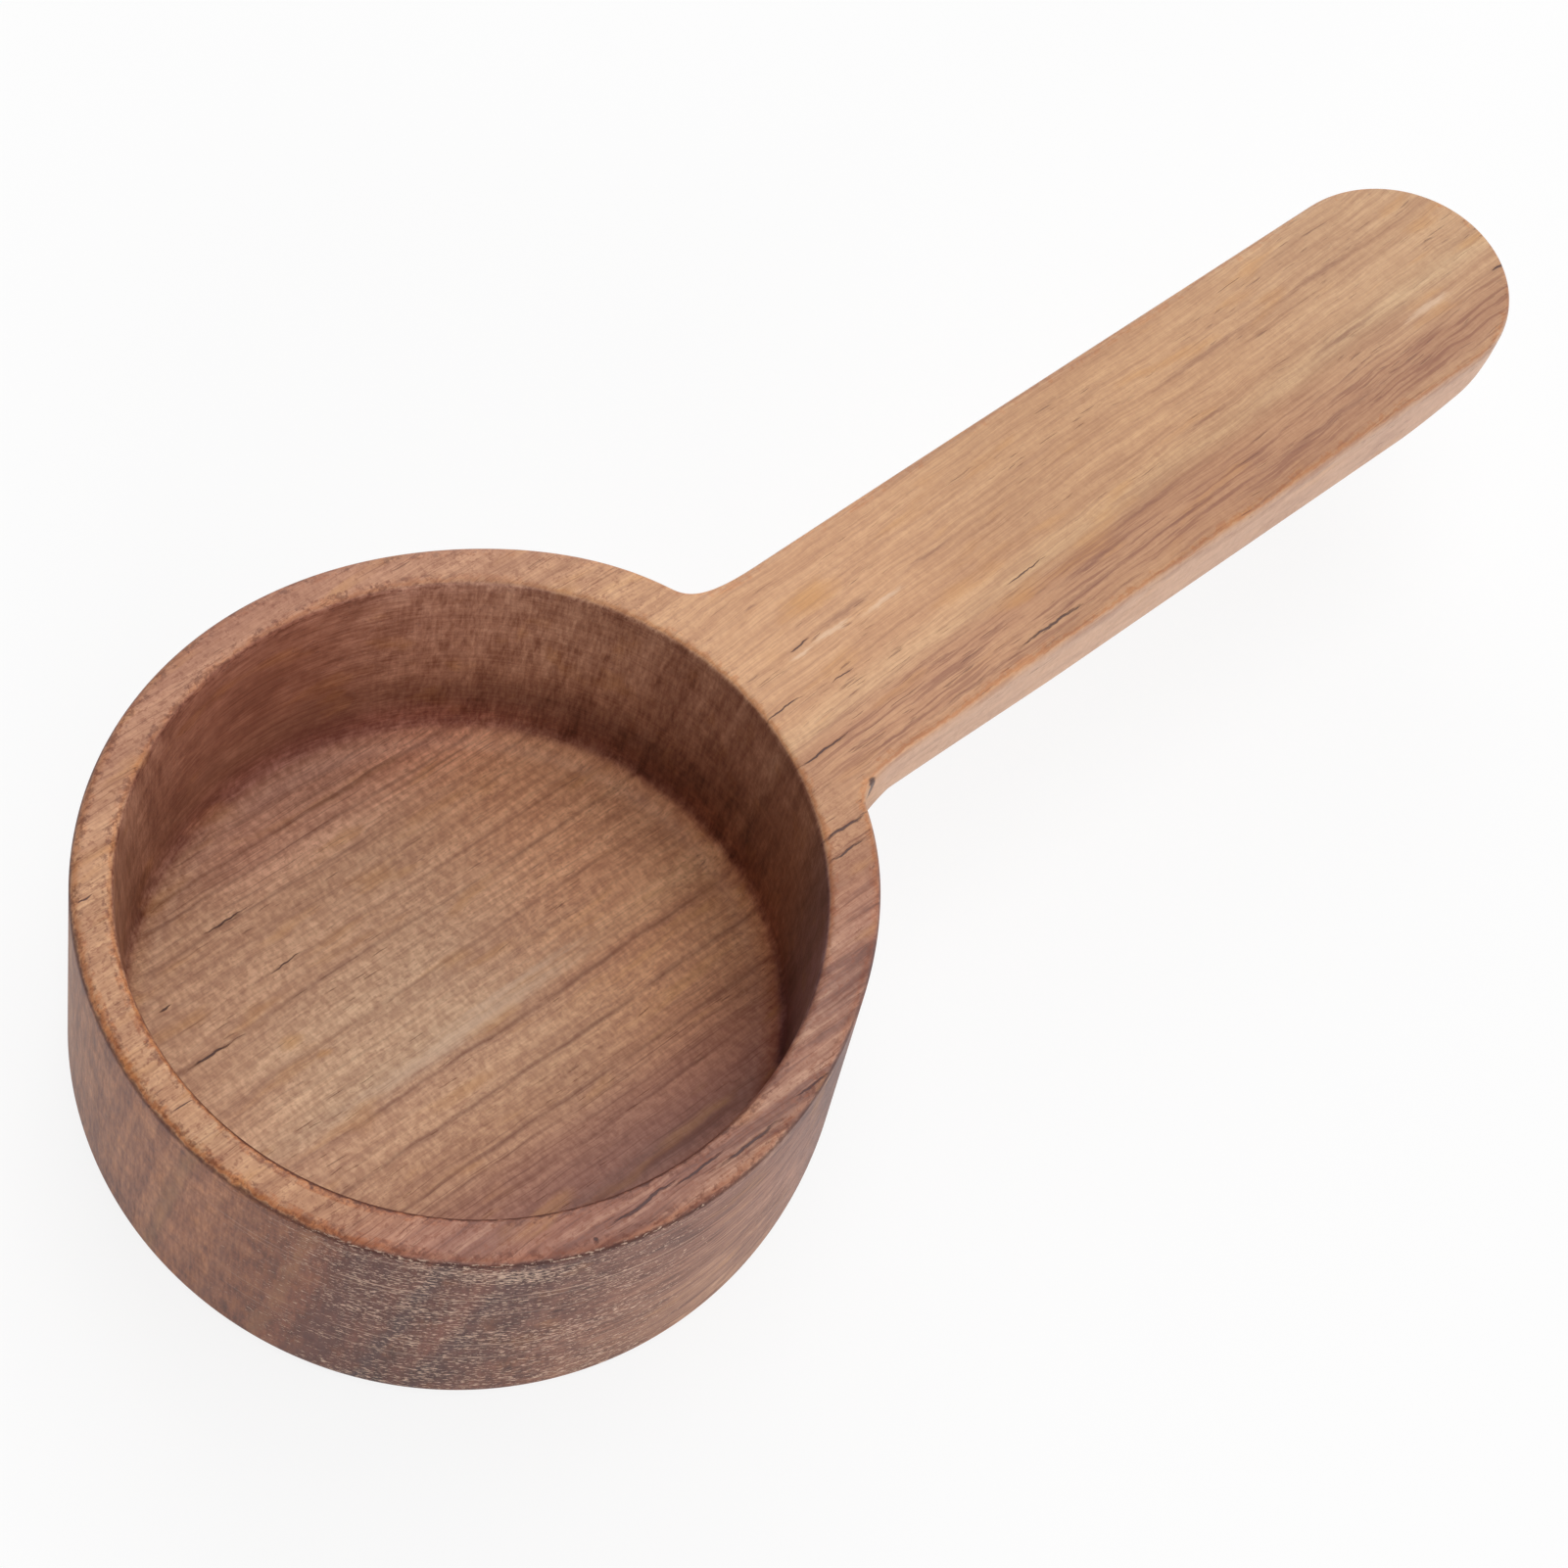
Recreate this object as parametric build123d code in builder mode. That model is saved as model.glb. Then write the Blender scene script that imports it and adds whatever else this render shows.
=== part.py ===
"""Measuring scoop cut from one block of wood: a round flat-bottomed bowl with a flat handle.

Millimetres, +Z up. The origin is the centre of the bowl's flat base, and +X runs out along the handle.
"""
import os

from build123d import *

# Bowl, outside: the wall leans out a little towards the base
RIM_RADIUS = 26.0
WALL_LEAN = 0.8
BOWL_HEIGHT = 22.4
BASE_EDGE_RADIUS = 1.2

# Bowl, hollow: straight wall, soft cove, flat floor
RIM_WALL = 2.9
FLOOR_THICKNESS = 2.5
COVE_RADIUS = 2.2

# Handle: flush with the rim, its length taken from rim to tip, widening from the bowl axis to the tip
HANDLE_LENGTH = 71.1
HANDLE_THICKNESS = 6.5
ROOT_WIDTH = 17.0
TIP_WIDTH = 18.2

# Neck corner, and the sanded edges
NECK_CORNER_RADIUS = 4.0
MOUTH_EDGE_RADIUS = 0.6
TOP_EDGE_RADIUS = 0.7
UNDER_EDGE_RADIUS = 1.2

# How far a cut runs past the face it opens, and how near counts as on a face
OVERRUN = 1.0
CLOSE = 0.01

base_radius = RIM_RADIUS + WALL_LEAN
hollow_radius = RIM_RADIUS - RIM_WALL
hollow_depth = BOWL_HEIGHT - FLOOR_THICKNESS
handle_underside = BOWL_HEIGHT - HANDLE_THICKNESS
tip_radius = TIP_WIDTH / 2
tip_centre = RIM_RADIUS + HANDLE_LENGTH - tip_radius


def meets_wall(edge):
    """True for an edge where the handle's sides or underside run into the bowl's leaning wall."""
    middle = edge.center()
    from_axis = Vector(middle.X, middle.Y).length
    in_wall = RIM_RADIUS < from_axis < base_radius
    below_top = handle_underside - CLOSE < middle.Z < BOWL_HEIGHT - CLOSE
    return in_wall and below_top and abs(middle.Y) < tip_radius < middle.X


def lower_outer_corner(section):
    """The corner of a half section that is lowest and furthest from the bowl axis."""
    return section.vertices().group_by(Axis.Y)[0].sort_by(Axis.X)[-1]


# The handle by itself, running back to the bowl axis, with its lower edges rounded
with BuildPart() as handle_blank:
    with BuildSketch(Plane.XY.offset(handle_underside)):
        Circle(ROOT_WIDTH / 2)
        with Locations((tip_centre, 0)):
            Circle(tip_radius)
        make_hull()
    extrude(amount=HANDLE_THICKNESS)
    fillet(handle_blank.faces().sort_by(Axis.Z)[0].edges(), radius=UNDER_EDGE_RADIUS)

with BuildPart() as scoop_body:
    # Outside of the bowl
    with BuildSketch(Plane.YZ) as bowl_section:
        with BuildLine():
            Polyline((0, 0), (base_radius, 0), (RIM_RADIUS, BOWL_HEIGHT), (0, BOWL_HEIGHT), close=True)
        make_face()
        fillet(lower_outer_corner(bowl_section), radius=BASE_EDGE_RADIUS)
    revolve(axis=Axis.Z)

    # Handle, filleted all round where it leaves the wall
    add(handle_blank.part)
    fillet(scoop_body.edges().filter_by(meets_wall), radius=NECK_CORNER_RADIUS)

    # Hollow
    with BuildSketch(Plane.YZ) as hollow_section:
        with Locations((0, FLOOR_THICKNESS)):
            Rectangle(hollow_radius, hollow_depth + OVERRUN, align=(Align.MIN, Align.MIN))
        fillet(lower_outer_corner(hollow_section), radius=COVE_RADIUS)
    revolve(axis=Axis.Z, mode=Mode.SUBTRACT)

    # Sanded edges of the top face: the hollow's mouth, and the outline of rim and handle
    top_face = scoop_body.faces().filter_by(Plane.XY).sort_by(Axis.Z)[-1]
    mouth = top_face.inner_wires()[0].edges()
    outline = top_face.outer_wire().edges()
    fillet(mouth, radius=MOUTH_EDGE_RADIUS)
    fillet(outline, radius=TOP_EDGE_RADIUS)

scoop_body.part.label = "scoop_body"

os.makedirs("parts", exist_ok=True)
export_step(scoop_body.part, "parts/scoop_body.step")
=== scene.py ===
"""Looks of the wooden measuring scoop: one carved body, its oiled wood, a pale table and soft light."""
import math
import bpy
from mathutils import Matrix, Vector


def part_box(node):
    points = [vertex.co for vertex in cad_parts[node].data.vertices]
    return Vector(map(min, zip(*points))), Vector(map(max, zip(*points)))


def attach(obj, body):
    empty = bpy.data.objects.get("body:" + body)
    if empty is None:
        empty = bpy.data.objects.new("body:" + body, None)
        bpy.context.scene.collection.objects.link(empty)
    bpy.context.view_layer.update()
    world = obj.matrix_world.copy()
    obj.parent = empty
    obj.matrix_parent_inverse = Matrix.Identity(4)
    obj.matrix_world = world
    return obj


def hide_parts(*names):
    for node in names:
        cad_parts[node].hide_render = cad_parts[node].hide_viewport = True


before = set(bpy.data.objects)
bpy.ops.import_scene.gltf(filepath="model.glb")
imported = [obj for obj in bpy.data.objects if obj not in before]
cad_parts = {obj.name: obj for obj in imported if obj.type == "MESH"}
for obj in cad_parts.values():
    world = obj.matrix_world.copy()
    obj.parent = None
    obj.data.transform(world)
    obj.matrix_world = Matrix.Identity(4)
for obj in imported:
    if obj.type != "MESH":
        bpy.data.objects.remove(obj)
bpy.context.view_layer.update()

from types import SimpleNamespace

import bpy
import numpy as np
from mathutils import Matrix, Vector

MM = 0.001
QUARTER = math.pi / 2
BODY = "scoop_body"

# Sizes read from the frame
high_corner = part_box(BODY)[1]
HEIGHT = high_corner.z
TIP_SPARE = 0.01 * MM
REACH = high_corner.x - TIP_SPARE

# Sizes of the carved body, in metres, as the frame has them; the handle's lower edge is rounder near the neck
RIM_R = 26.0 * MM
LEAN = 0.8 * MM
HOLLOW_R = 23.1 * MM
FLOOR = 2.5 * MM
COVE = 2.2 * MM
HANDLE_DEEP = 6.5 * MM
MOUTH_EDGE = 0.6 * MM
TOP_EDGE = 0.7 * MM
UNDER_EDGE = 1.2 * MM
ROOT_FILLET = 4.0 * MM
NECK_UNDER = 2.3 * MM
NECK_UNDER_TO = 48.0 * MM
NECK_UNDER_LONG = 20.0 * MM
BASE_EDGE = 1.2 * MM

# How far hand sanding left the bowl from round: off centre, oval or faintly three-cornered
RIM_OFF_Y = -0.145 * MM
RIM_CORNERS = 0.18 * MM
BASE_OVAL = 0.18 * MM
HOLLOW_OVAL = 0.14 * MM
HOLLOW_CORNERS = 0.10 * MM

# The shoulder and the blend on each side of the handle, +Y side first, and how the handle narrows to the neck
SHOULDERS = (0.97 * MM, 0.87 * MM)
SHOULDER_AT = math.radians(24)
SHOULDER_WIDE = math.radians(26)
NECK_BLENDS = (5.1 * MM, 4.2 * MM)
ROOT_HALVES = (8.3 * MM, 9.0 * MM)
WAISTS = (0.1 * MM, -0.1 * MM)
WAIST_FROM = math.radians(9)
WAIST_TO = math.radians(17)

# The tip: half an ellipse, standing a little to the +Y side, its lower edge worn rounder than the handle's
# sides
TIP_HALF = 9.0 * MM
TIP_LONG = 9.6 * MM
TIP_SHIFT = 0.1 * MM
TIP_UNDER_IN = 2.4 * MM
TIP_UNDER_DEEP = 5.6 * MM
TIP_UNDER_LONG = 16.0 * MM

# How far beyond the rim the handle's lower edge, its root corner and the handle itself begin, and their full
# depth
UNDER_START = 0.5 * MM
UNDER_LONG = 3.0 * MM
ROOT_START = 2.5 * MM
ROOT_LONG = 6.5 * MM
ROOT_LEAST = 0.05 * MM
LEDGE_START = 0.6 * MM

# Points round the outline, the rays tried to find them, the length that a bend of one radian counts for, and
# the least that a side may slope across a ray
AROUND = 620
RAYS_TRIED = 60001
BEND_COUNTS = 5.0 * MM
LEAST_ACROSS = 1e-3

# Rings along each part of the section, how much they crowd at its ends, and the farthest gap to an edge that
# is kept
FLOOR_RINGS, COVE_RINGS, WALL_RINGS, TOP_RINGS, EDGE_RINGS, BASE_RINGS = 16, 10, 16, 18, 8, 10
SIDE_RINGS, UNDER_EDGE_RINGS, UNDER_RINGS, ROOT_RINGS = 12, 6, 16, 8
CROWDED, HALF_CROWDED, EVEN = 1.0, 0.5, 0.0
GAP_FAR = 3.0 * MM


def ease(x):
    """Smooth step: 3x^2 - 2x^3 of x held between 0 and 1."""
    x = np.clip(x, 0.0, 1.0)
    return x * x * (3.0 - 2.0 * x)


def rim_reach(angle):
    """Distance from the bowl axis to the rim's outside, with a shoulder on each side of the handle.

    It is the rim radius, plus a share of the sine and of the cosine of three times the angle, plus the
    shoulder's bell curve of the angle.
    """
    off = (np.abs(angle) - SHOULDER_AT) / SHOULDER_WIDE
    shoulder = np.where(angle > 0, *SHOULDERS) * np.exp(-off * off)
    return RIM_R + RIM_OFF_Y * np.sin(angle) + RIM_CORNERS * np.cos(3 * angle) + shoulder


def base_lean(angle):
    """How much further out than the rim the wall would reach at the table: its lean, a little oval."""
    return LEAN + BASE_OVAL * np.cos(2 * angle)


def hollow_reach(angle):
    """Distance from the bowl axis to the hollow's wall: its radius, a little oval and three-cornered."""
    return HOLLOW_R + HOLLOW_OVAL * np.cos(2 * angle) + HOLLOW_CORNERS * np.cos(3 * angle)


def handle_reach(angle):
    """Distance from the bowl axis to the handle's outline, which is two sides and a round tip.

    A side at distance w from the axis, sloping by s, lies at w / (cos s sin a - sin s cos a). The tip is an
    ellipse, and lies at the far root of its equation along the ray. Each side touches the ellipse, and is
    drawn in by its waist towards the neck.
    """
    a = np.abs(angle)
    centre = REACH - TIP_LONG
    half = np.where(angle > 0, *ROOT_HALVES)
    shift = np.where(angle > 0, TIP_SHIFT, -TIP_SHIFT)
    slope = np.arcsin((TIP_HALF + shift - half) / centre)
    half = half - np.where(angle > 0, *WAISTS) * ease((a - WAIST_FROM) / (WAIST_TO - WAIST_FROM))
    across = np.cos(slope) * np.sin(a) - np.sin(slope) * np.cos(a)
    side = half / np.maximum(across, LEAST_ACROSS)
    square = (np.cos(a) / TIP_LONG) ** 2 + (np.sin(a) / TIP_HALF) ** 2
    middle = centre * np.cos(a) / TIP_LONG ** 2 + shift * np.sin(a) / TIP_HALF ** 2
    rest = (centre / TIP_LONG) ** 2 + (shift / TIP_HALF) ** 2 - 1.0
    tip = (middle + np.sqrt(np.maximum(middle ** 2 - square * rest, 0.0))) / square
    touch_x = centre - TIP_LONG ** 2 / TIP_HALF * np.sin(slope)
    touch_at = np.arctan2(shift + TIP_HALF * np.cos(slope), touch_x)
    reach = np.where(a < touch_at, tip, side)
    return np.where(a < QUARTER, reach, 0.0)


def outline_reach(angle):
    """The farther of rim and handle, with (k - gap)^2 / 4k added where they lie within k of each other."""
    rim, handle = rim_reach(angle), handle_reach(angle)
    k = np.where(angle > 0, *NECK_BLENDS)
    near = np.maximum(k - np.abs(rim - handle), 0.0)
    return np.maximum(rim, handle) + near * near / (4.0 * k)


def outline():
    """Points, outward normals and polar angles round the top face, closer together where the outline bends."""
    angle = np.linspace(-math.pi, math.pi, RAYS_TRIED)
    reach = outline_reach(angle)
    x, y = reach * np.cos(angle), reach * np.sin(angle)
    dx, dy = np.gradient(x), np.gradient(y)
    heading = np.unwrap(np.arctan2(dy, dx))
    measure = np.cumsum(np.hypot(dx, dy) + BEND_COUNTS * np.abs(np.gradient(heading)))
    measure = (measure - measure[0]) / (measure[-1] - measure[0])
    wanted = np.arange(AROUND) / AROUND
    kept = np.interp(wanted, measure, heading)
    points = np.stack([np.interp(wanted, measure, x), np.interp(wanted, measure, y)], 1)
    normal = np.stack([np.sin(kept), -np.cos(kept)], 1)
    return points, normal, np.interp(wanted, measure, angle)


def shares(count, crowd=CROWDED):
    """Shares from above 0 up to 1, crowded towards both ends when crowd is 1 and even when it is 0."""
    t = np.arange(1, count + 1) / count
    return (1.0 - crowd) * t + crowd * (1.0 - np.cos(math.pi * t)) / 2


def quarter_round(count):
    """The sine and cosine of each even step up to a quarter turn."""
    turned = shares(count, EVEN) * QUARTER
    return zip(np.sin(turned), np.cos(turned))


def body_surface():
    """The carved body as rings of points, from the floor's centre over the rim and down to the base's centre.

    Each ring goes round the outline's directions. The rings are, in order: the floor, a quarter-round cove,
    the hollow's wall, the quarter-round mouth edge, the top face, its quarter-round outer edge, the side, the
    handle's quarter-round lower edge, its underside, the hollow quarter round where that meets the bowl, the
    bowl's lower wall, its quarter-round base edge and the base. On the bowl the four handle rings lie evenly
    down the wall. The second result is each point's distance to the nearest edge, up to GAP_FAR.
    """
    plan, normal, angle = outline()
    ray = np.stack([np.cos(angle), np.sin(angle)], 1)
    rim = rim_reach(angle)
    base_out = base_lean(angle)
    hollow = hollow_reach(angle)
    beyond = outline_reach(angle) - rim
    under_there = np.clip((beyond - UNDER_START) / UNDER_LONG, 0.0, 1.0)
    root_there = np.clip((beyond - ROOT_START) / ROOT_LONG, 0.0, 1.0)
    on_handle = ease(beyond / LEDGE_START)
    rings, gaps = [], []

    def put(flat, z, gap):
        z = np.broadcast_to(z, (AROUND,))
        rings.append(np.column_stack([flat, z]))
        gaps.append(np.broadcast_to(np.minimum(np.abs(gap), GAP_FAR), (AROUND,)))

    def out(reach):
        return ray * reach[:, None]

    def lean(z):
        return base_out * (HEIGHT - z) / HEIGHT

    for t in shares(FLOOR_RINGS, HALF_CROWDED):
        put(out((hollow - COVE) * t), FLOOR, GAP_FAR)
    for sine, cosine in quarter_round(COVE_RINGS):
        put(out(hollow - COVE + COVE * sine), FLOOR + COVE * (1 - cosine), GAP_FAR)
    wall_low, wall_high = FLOOR + COVE, HEIGHT - MOUTH_EDGE
    for t in shares(WALL_RINGS):
        z = wall_low + (wall_high - wall_low) * t
        put(out(hollow), z, wall_high - z)
    for sine, cosine in quarter_round(EDGE_RINGS):
        put(out(hollow + MOUTH_EDGE * (1 - cosine)), wall_high + MOUTH_EDGE * sine, 0.0)
    inner = out(hollow + MOUTH_EDGE)
    outer = plan - normal * TOP_EDGE
    for t in shares(TOP_RINGS):
        flat = inner + (outer - inner) * t
        from_outline = np.sum((outer - flat) * normal, 1)
        from_mouth = np.linalg.norm(flat - inner, axis=1)
        put(flat, HEIGHT, np.minimum(from_outline, from_mouth))
    for sine, cosine in quarter_round(EDGE_RINGS):
        z = HEIGHT - TOP_EDGE * (1 - cosine)
        further = lean(z) * (1 - on_handle) - TOP_EDGE * (1 - sine)
        put(plan + normal * further[:, None], z, 0.0)

    side_high, side_low = HEIGHT - TOP_EDGE, HEIGHT - HANDLE_DEEP
    worn = ease((plan[:, 0] - REACH + TIP_UNDER_LONG) / TIP_UNDER_LONG)
    neck = (NECK_UNDER - UNDER_EDGE) * ease((NECK_UNDER_TO - plan[:, 0]) / NECK_UNDER_LONG)
    under_in = (UNDER_EDGE + neck + (TIP_UNDER_IN - UNDER_EDGE) * worn) * under_there
    under_deep = (UNDER_EDGE + neck + (TIP_UNDER_DEEP - UNDER_EDGE) * worn) * under_there
    root = np.maximum(ROOT_FILLET * root_there, ROOT_LEAST)
    handle_rings = SIDE_RINGS + UNDER_EDGE_RINGS + UNDER_RINGS + ROOT_RINGS
    bowl_low = side_low - ROOT_FILLET
    handle_ring = 0

    def put_lower(flat, z, gap):
        """A handle ring, drawn towards its even place down the wall where there is no handle."""
        nonlocal handle_ring
        handle_ring += 1
        even_z = side_high + (bowl_low - side_high) * handle_ring / handle_rings
        even_flat = plan + normal * lean(even_z)[:, None]
        mixed_z = even_z + (z - even_z) * on_handle
        mixed_gap = GAP_FAR + (np.minimum(np.abs(gap), GAP_FAR) - GAP_FAR) * on_handle
        from_top = np.minimum(np.abs(side_high - mixed_z), GAP_FAR)
        put(even_flat + (flat - even_flat) * on_handle[:, None], mixed_z, np.minimum(mixed_gap, from_top))

    for t in shares(SIDE_RINGS):
        z = side_high + (side_low + under_deep - side_high) * t
        put_lower(plan, z, z - side_low - under_deep)
    for sine, cosine in quarter_round(UNDER_EDGE_RINGS):
        z = side_low + under_deep * (1 - sine)
        put_lower(plan - normal * (under_in * (1 - cosine))[:, None], z, 0.0)
    edge_in = plan - normal * under_in[:, None]
    turn = np.arctan2(ray[:, 0] * edge_in[:, 1] - ray[:, 1] * edge_in[:, 0], np.sum(ray * edge_in, 1))

    def wall(z, turned, further):
        """The wall at height z, at each point's angle plus its turn, and further out by a length."""
        at_angle = angle + turned
        way = np.stack([np.cos(at_angle), np.sin(at_angle)], 1)
        return way * (rim_reach(at_angle) + lean(z) + further)[:, None]

    root_out = wall(side_low, turn, root)
    for t in shares(UNDER_RINGS):
        flat = edge_in + (root_out - edge_in) * t
        put_lower(flat, side_low, np.sum((edge_in - flat) * normal, 1))
    for sine, cosine in quarter_round(ROOT_RINGS):
        z = side_low - root * (1 - cosine)
        put_lower(wall(z, turn, root * (1 - sine)), z, GAP_FAR)

    last_z = rings[-1][:, 2].copy()
    for t in shares(WALL_RINGS):
        z = last_z + (BASE_EDGE - last_z) * t
        put(wall(z, turn * (1.0 - ease(t)), 0.0), z, z - BASE_EDGE)
    foot = rim + lean(BASE_EDGE) - BASE_EDGE
    for sine, cosine in quarter_round(EDGE_RINGS):
        put(out(foot + BASE_EDGE * cosine), BASE_EDGE * (1 - sine), 0.0)
    for t in shares(BASE_RINGS, HALF_CROWDED)[:-1]:
        put(out(foot * (1 - t)), 0.0, foot * t)
    return np.array(rings), np.array(gaps)


def closed_rings_mesh(name, rings, gaps, start, end):
    """Quads between neighbouring rings, and a fan of triangles to the point at each end."""
    count, around = rings.shape[:2]
    points = np.concatenate([rings.reshape(-1, 3), [start, end]])
    grid = np.arange(count * around).reshape(count, around)
    here, across = grid[:-1], grid[1:]
    quads = np.stack([here, np.roll(here, -1, 1), np.roll(across, -1, 1), across], -1).reshape(-1, 4)
    first, last = len(points) - 2, len(points) - 1
    fan_first = np.stack([np.full(around, first), np.roll(grid[0], -1), grid[0]], 1)
    fan_last = np.stack([np.full(around, last), grid[-1], np.roll(grid[-1], -1)], 1)
    corners = np.concatenate([faces[:, ::-1].ravel() for faces in (quads, fan_first, fan_last)])
    sizes = np.concatenate([np.full(len(faces), faces.shape[1]) for faces in (quads, fan_first, fan_last)])
    mesh = bpy.data.meshes.new(name)
    mesh.vertices.add(len(points))
    mesh.vertices.foreach_set("co", points.astype(np.float32).ravel())
    mesh.loops.add(len(corners))
    mesh.loops.foreach_set("vertex_index", corners.astype(np.int32))
    mesh.polygons.add(len(sizes))
    mesh.polygons.foreach_set("loop_start", np.concatenate([[0], np.cumsum(sizes)[:-1]]).astype(np.int32))
    mesh.polygons.foreach_set("loop_total", sizes.astype(np.int32))
    mesh.polygons.foreach_set("use_smooth", np.ones(len(sizes), bool))
    gap = mesh.attributes.new("edge_gap", "FLOAT", "POINT")
    gap.data.foreach_set("value", np.concatenate([gaps.ravel(), [GAP_FAR, GAP_FAR]]).astype(np.float32))
    mesh.update(calc_edges=True)
    mesh.validate()
    piece = bpy.data.objects.new(name, mesh)
    bpy.context.scene.collection.objects.link(piece)
    return piece


# Places of a colour Mix node's sockets, where a ramp's new stop starts out, the middle of a noise, and how a
# seed moves it in x, y and z
MIX_FACTOR, MIX_A, MIX_B, MIX_COLOUR = 0, 6, 7, 2
NEW_STOP = 0.5
NOISE_MIDDLE = 0.5
SEED_MOVES = (1.0, 0.7, 1.3)

# Oiled wood gets redder where it is darker: the powers of a shade's factor for green and blue
GREEN_POWER = 1.35
BLUE_POWER = 1.45

# The curve between a screen's values and light
SCREEN_FULL = 255.0
SCREEN_DARK = 0.04045
SCREEN_DARK_SLOPE = 12.92
SCREEN_SHIFT = 0.055
SCREEN_POWER = 2.4


class Graph:
    """Short words for making a node tree and joining its nodes: a number, a colour or another node's socket."""

    def __init__(self, owner):
        owner.use_nodes = True
        self.tree = owner.node_tree
        self.tree.nodes.clear()

    def add(self, kind, settings=None, **values):
        node = self.tree.nodes.new(kind)
        for name, value in (settings or {}).items():
            setattr(node, name, value)
        for name, value in values.items():
            self.put(node.inputs[name.replace("_", " ")], value)
        return node

    def put(self, socket, value):
        if isinstance(value, bpy.types.NodeSocket):
            self.tree.links.new(value, socket)
        else:
            socket.default_value = value

    def math(self, operation, *values, clamp=False):
        node = self.add("ShaderNodeMath", {"operation": operation, "use_clamp": clamp})
        for socket, value in zip(node.inputs, values):
            self.put(socket, value)
        return node.outputs[0]

    def plus(self, a, b):
        return self.math("ADD", a, b)

    def minus(self, a, b):
        return self.math("SUBTRACT", a, b)

    def times(self, a, b):
        return self.math("MULTIPLY", a, b)

    def most(self, a, b):
        return self.math("MAXIMUM", a, b)

    def away(self, value, centre):
        """How far a value is from a centre, on either side."""
        return self.math("ABSOLUTE", self.minus(value, centre))

    def near(self, value, centre, half):
        """1 at the centre, falling evenly to 0 at a half width from it."""
        return self.math("SUBTRACT", 1.0, self.times(self.away(value, centre), 1.0 / half), clamp=True)

    def vector(self, x, y, z):
        return self.add("ShaderNodeCombineXYZ", X=x, Y=y, Z=z).outputs[0]

    def fade(self, value, start, end, low=0.0, high=1.0):
        """Low at start and high at end, easing between them, for start above or below end."""
        node = self.add("ShaderNodeMapRange", {"interpolation_type": "SMOOTHSTEP"}, Value=value)
        for name, number in (("From Min", start), ("From Max", end), ("To Min", low), ("To Max", high)):
            self.put(node.inputs[name], number)
        return node.outputs[0]

    def noise(self, place, cell, detail, rough, seed):
        """Noise from 0 to 1 whose cells are as long in x, y and z as the three millimetres given."""
        spot = self.add("ShaderNodeMapping", {"vector_type": "POINT"}, Vector=place)
        spot.inputs["Scale"].default_value = [1.0 / size for size in cell]
        spot.inputs["Location"].default_value = [seed * move for move in SEED_MOVES]
        node = self.add("ShaderNodeTexNoise", Vector=spot.outputs[0], Scale=1.0, Detail=detail, Roughness=rough)
        return node.outputs["Fac"]

    def drift(self, place, pattern, wide=None, middle=NOISE_MIDDLE):
        """A noise pattern moved to lie around 0, and made as wide as asked."""
        moved = self.minus(self.noise(place, *pattern), middle)
        return self.times(moved, wide) if wide else moved

    def blend(self, factor, a, b, kind="MIX"):
        node = self.add("ShaderNodeMix", {"data_type": "RGBA", "blend_type": kind, "clamp_result": False})
        for place, value in ((MIX_FACTOR, factor), (MIX_A, a), (MIX_B, b)):
            self.put(node.inputs[place], value)
        return node.outputs[MIX_COLOUR]

    def tone(self, colour, where, shares):
        """The colour with its red, green and blue changed by the given shares where `where` is 1."""
        return self.blend(where, colour, self.blend(1.0, colour, (*shares, 1.0), "MULTIPLY"))

    def tone_places(self, at, colour, places):
        """The colour toned in each place of a list, which says what it lies on, its bounds and its shares.

        A bound names what is measured, where it starts and where it is full, and last a centre where the
        distance from that is meant.
        """
        for surface, bounds, shares in places:
            where = getattr(at, surface)
            for name, start, end, *centre in bounds:
                measured = getattr(at, name)
                if centre:
                    measured = self.away(measured, *centre)
                where = self.times(where, self.fade(measured, start, end))
            colour = self.tone(colour, where, shares)
        return colour

    def shade(self, colour, factor):
        """The colour made darker or lighter by a factor near 1."""
        green = self.math("POWER", factor, GREEN_POWER)
        blue = self.math("POWER", factor, BLUE_POWER)
        shares = self.add("ShaderNodeCombineColor", Red=factor, Green=green, Blue=blue).outputs[0]
        return self.blend(1.0, colour, shares, "MULTIPLY")

    def ramp(self, value, stops):
        """Colours at the given places, even between each pair."""
        low, high = stops[0][0], stops[-1][0]
        share = self.add("ShaderNodeMapRange", Value=value)
        share.inputs["From Min"].default_value = low
        share.inputs["From Max"].default_value = high
        node = self.add("ShaderNodeValToRGB", Fac=share.outputs[0])
        band = node.color_ramp
        while len(band.elements) < len(stops):
            band.elements.new(NEW_STOP)
        for element, (place, colour) in zip(band.elements, stops):
            element.position = (place - low) / (high - low)
            element.color = colour
        return node.outputs[0]


def tint(red, green, blue):
    """A colour as read off a screen, 0 to 255, turned into the linear values that a shader takes."""
    linear = []
    for value in (red, green, blue):
        share = value / SCREEN_FULL
        bright = ((share + SCREEN_SHIFT) / (1.0 + SCREEN_SHIFT)) ** SCREEN_POWER
        linear.append(share / SCREEN_DARK_SLOPE if share <= SCREEN_DARK else bright)
    return (*linear, 1.0)


# Tones of the oiled wood, palest first
HONEY = tint(211, 167, 128)
TAN = tint(205, 157, 119)
CLAY = tint(193, 144, 109)
RUSSET = tint(172, 121, 95)
PLUM = tint(151, 102, 84)
UMBER = tint(128, 86, 73)

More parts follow.
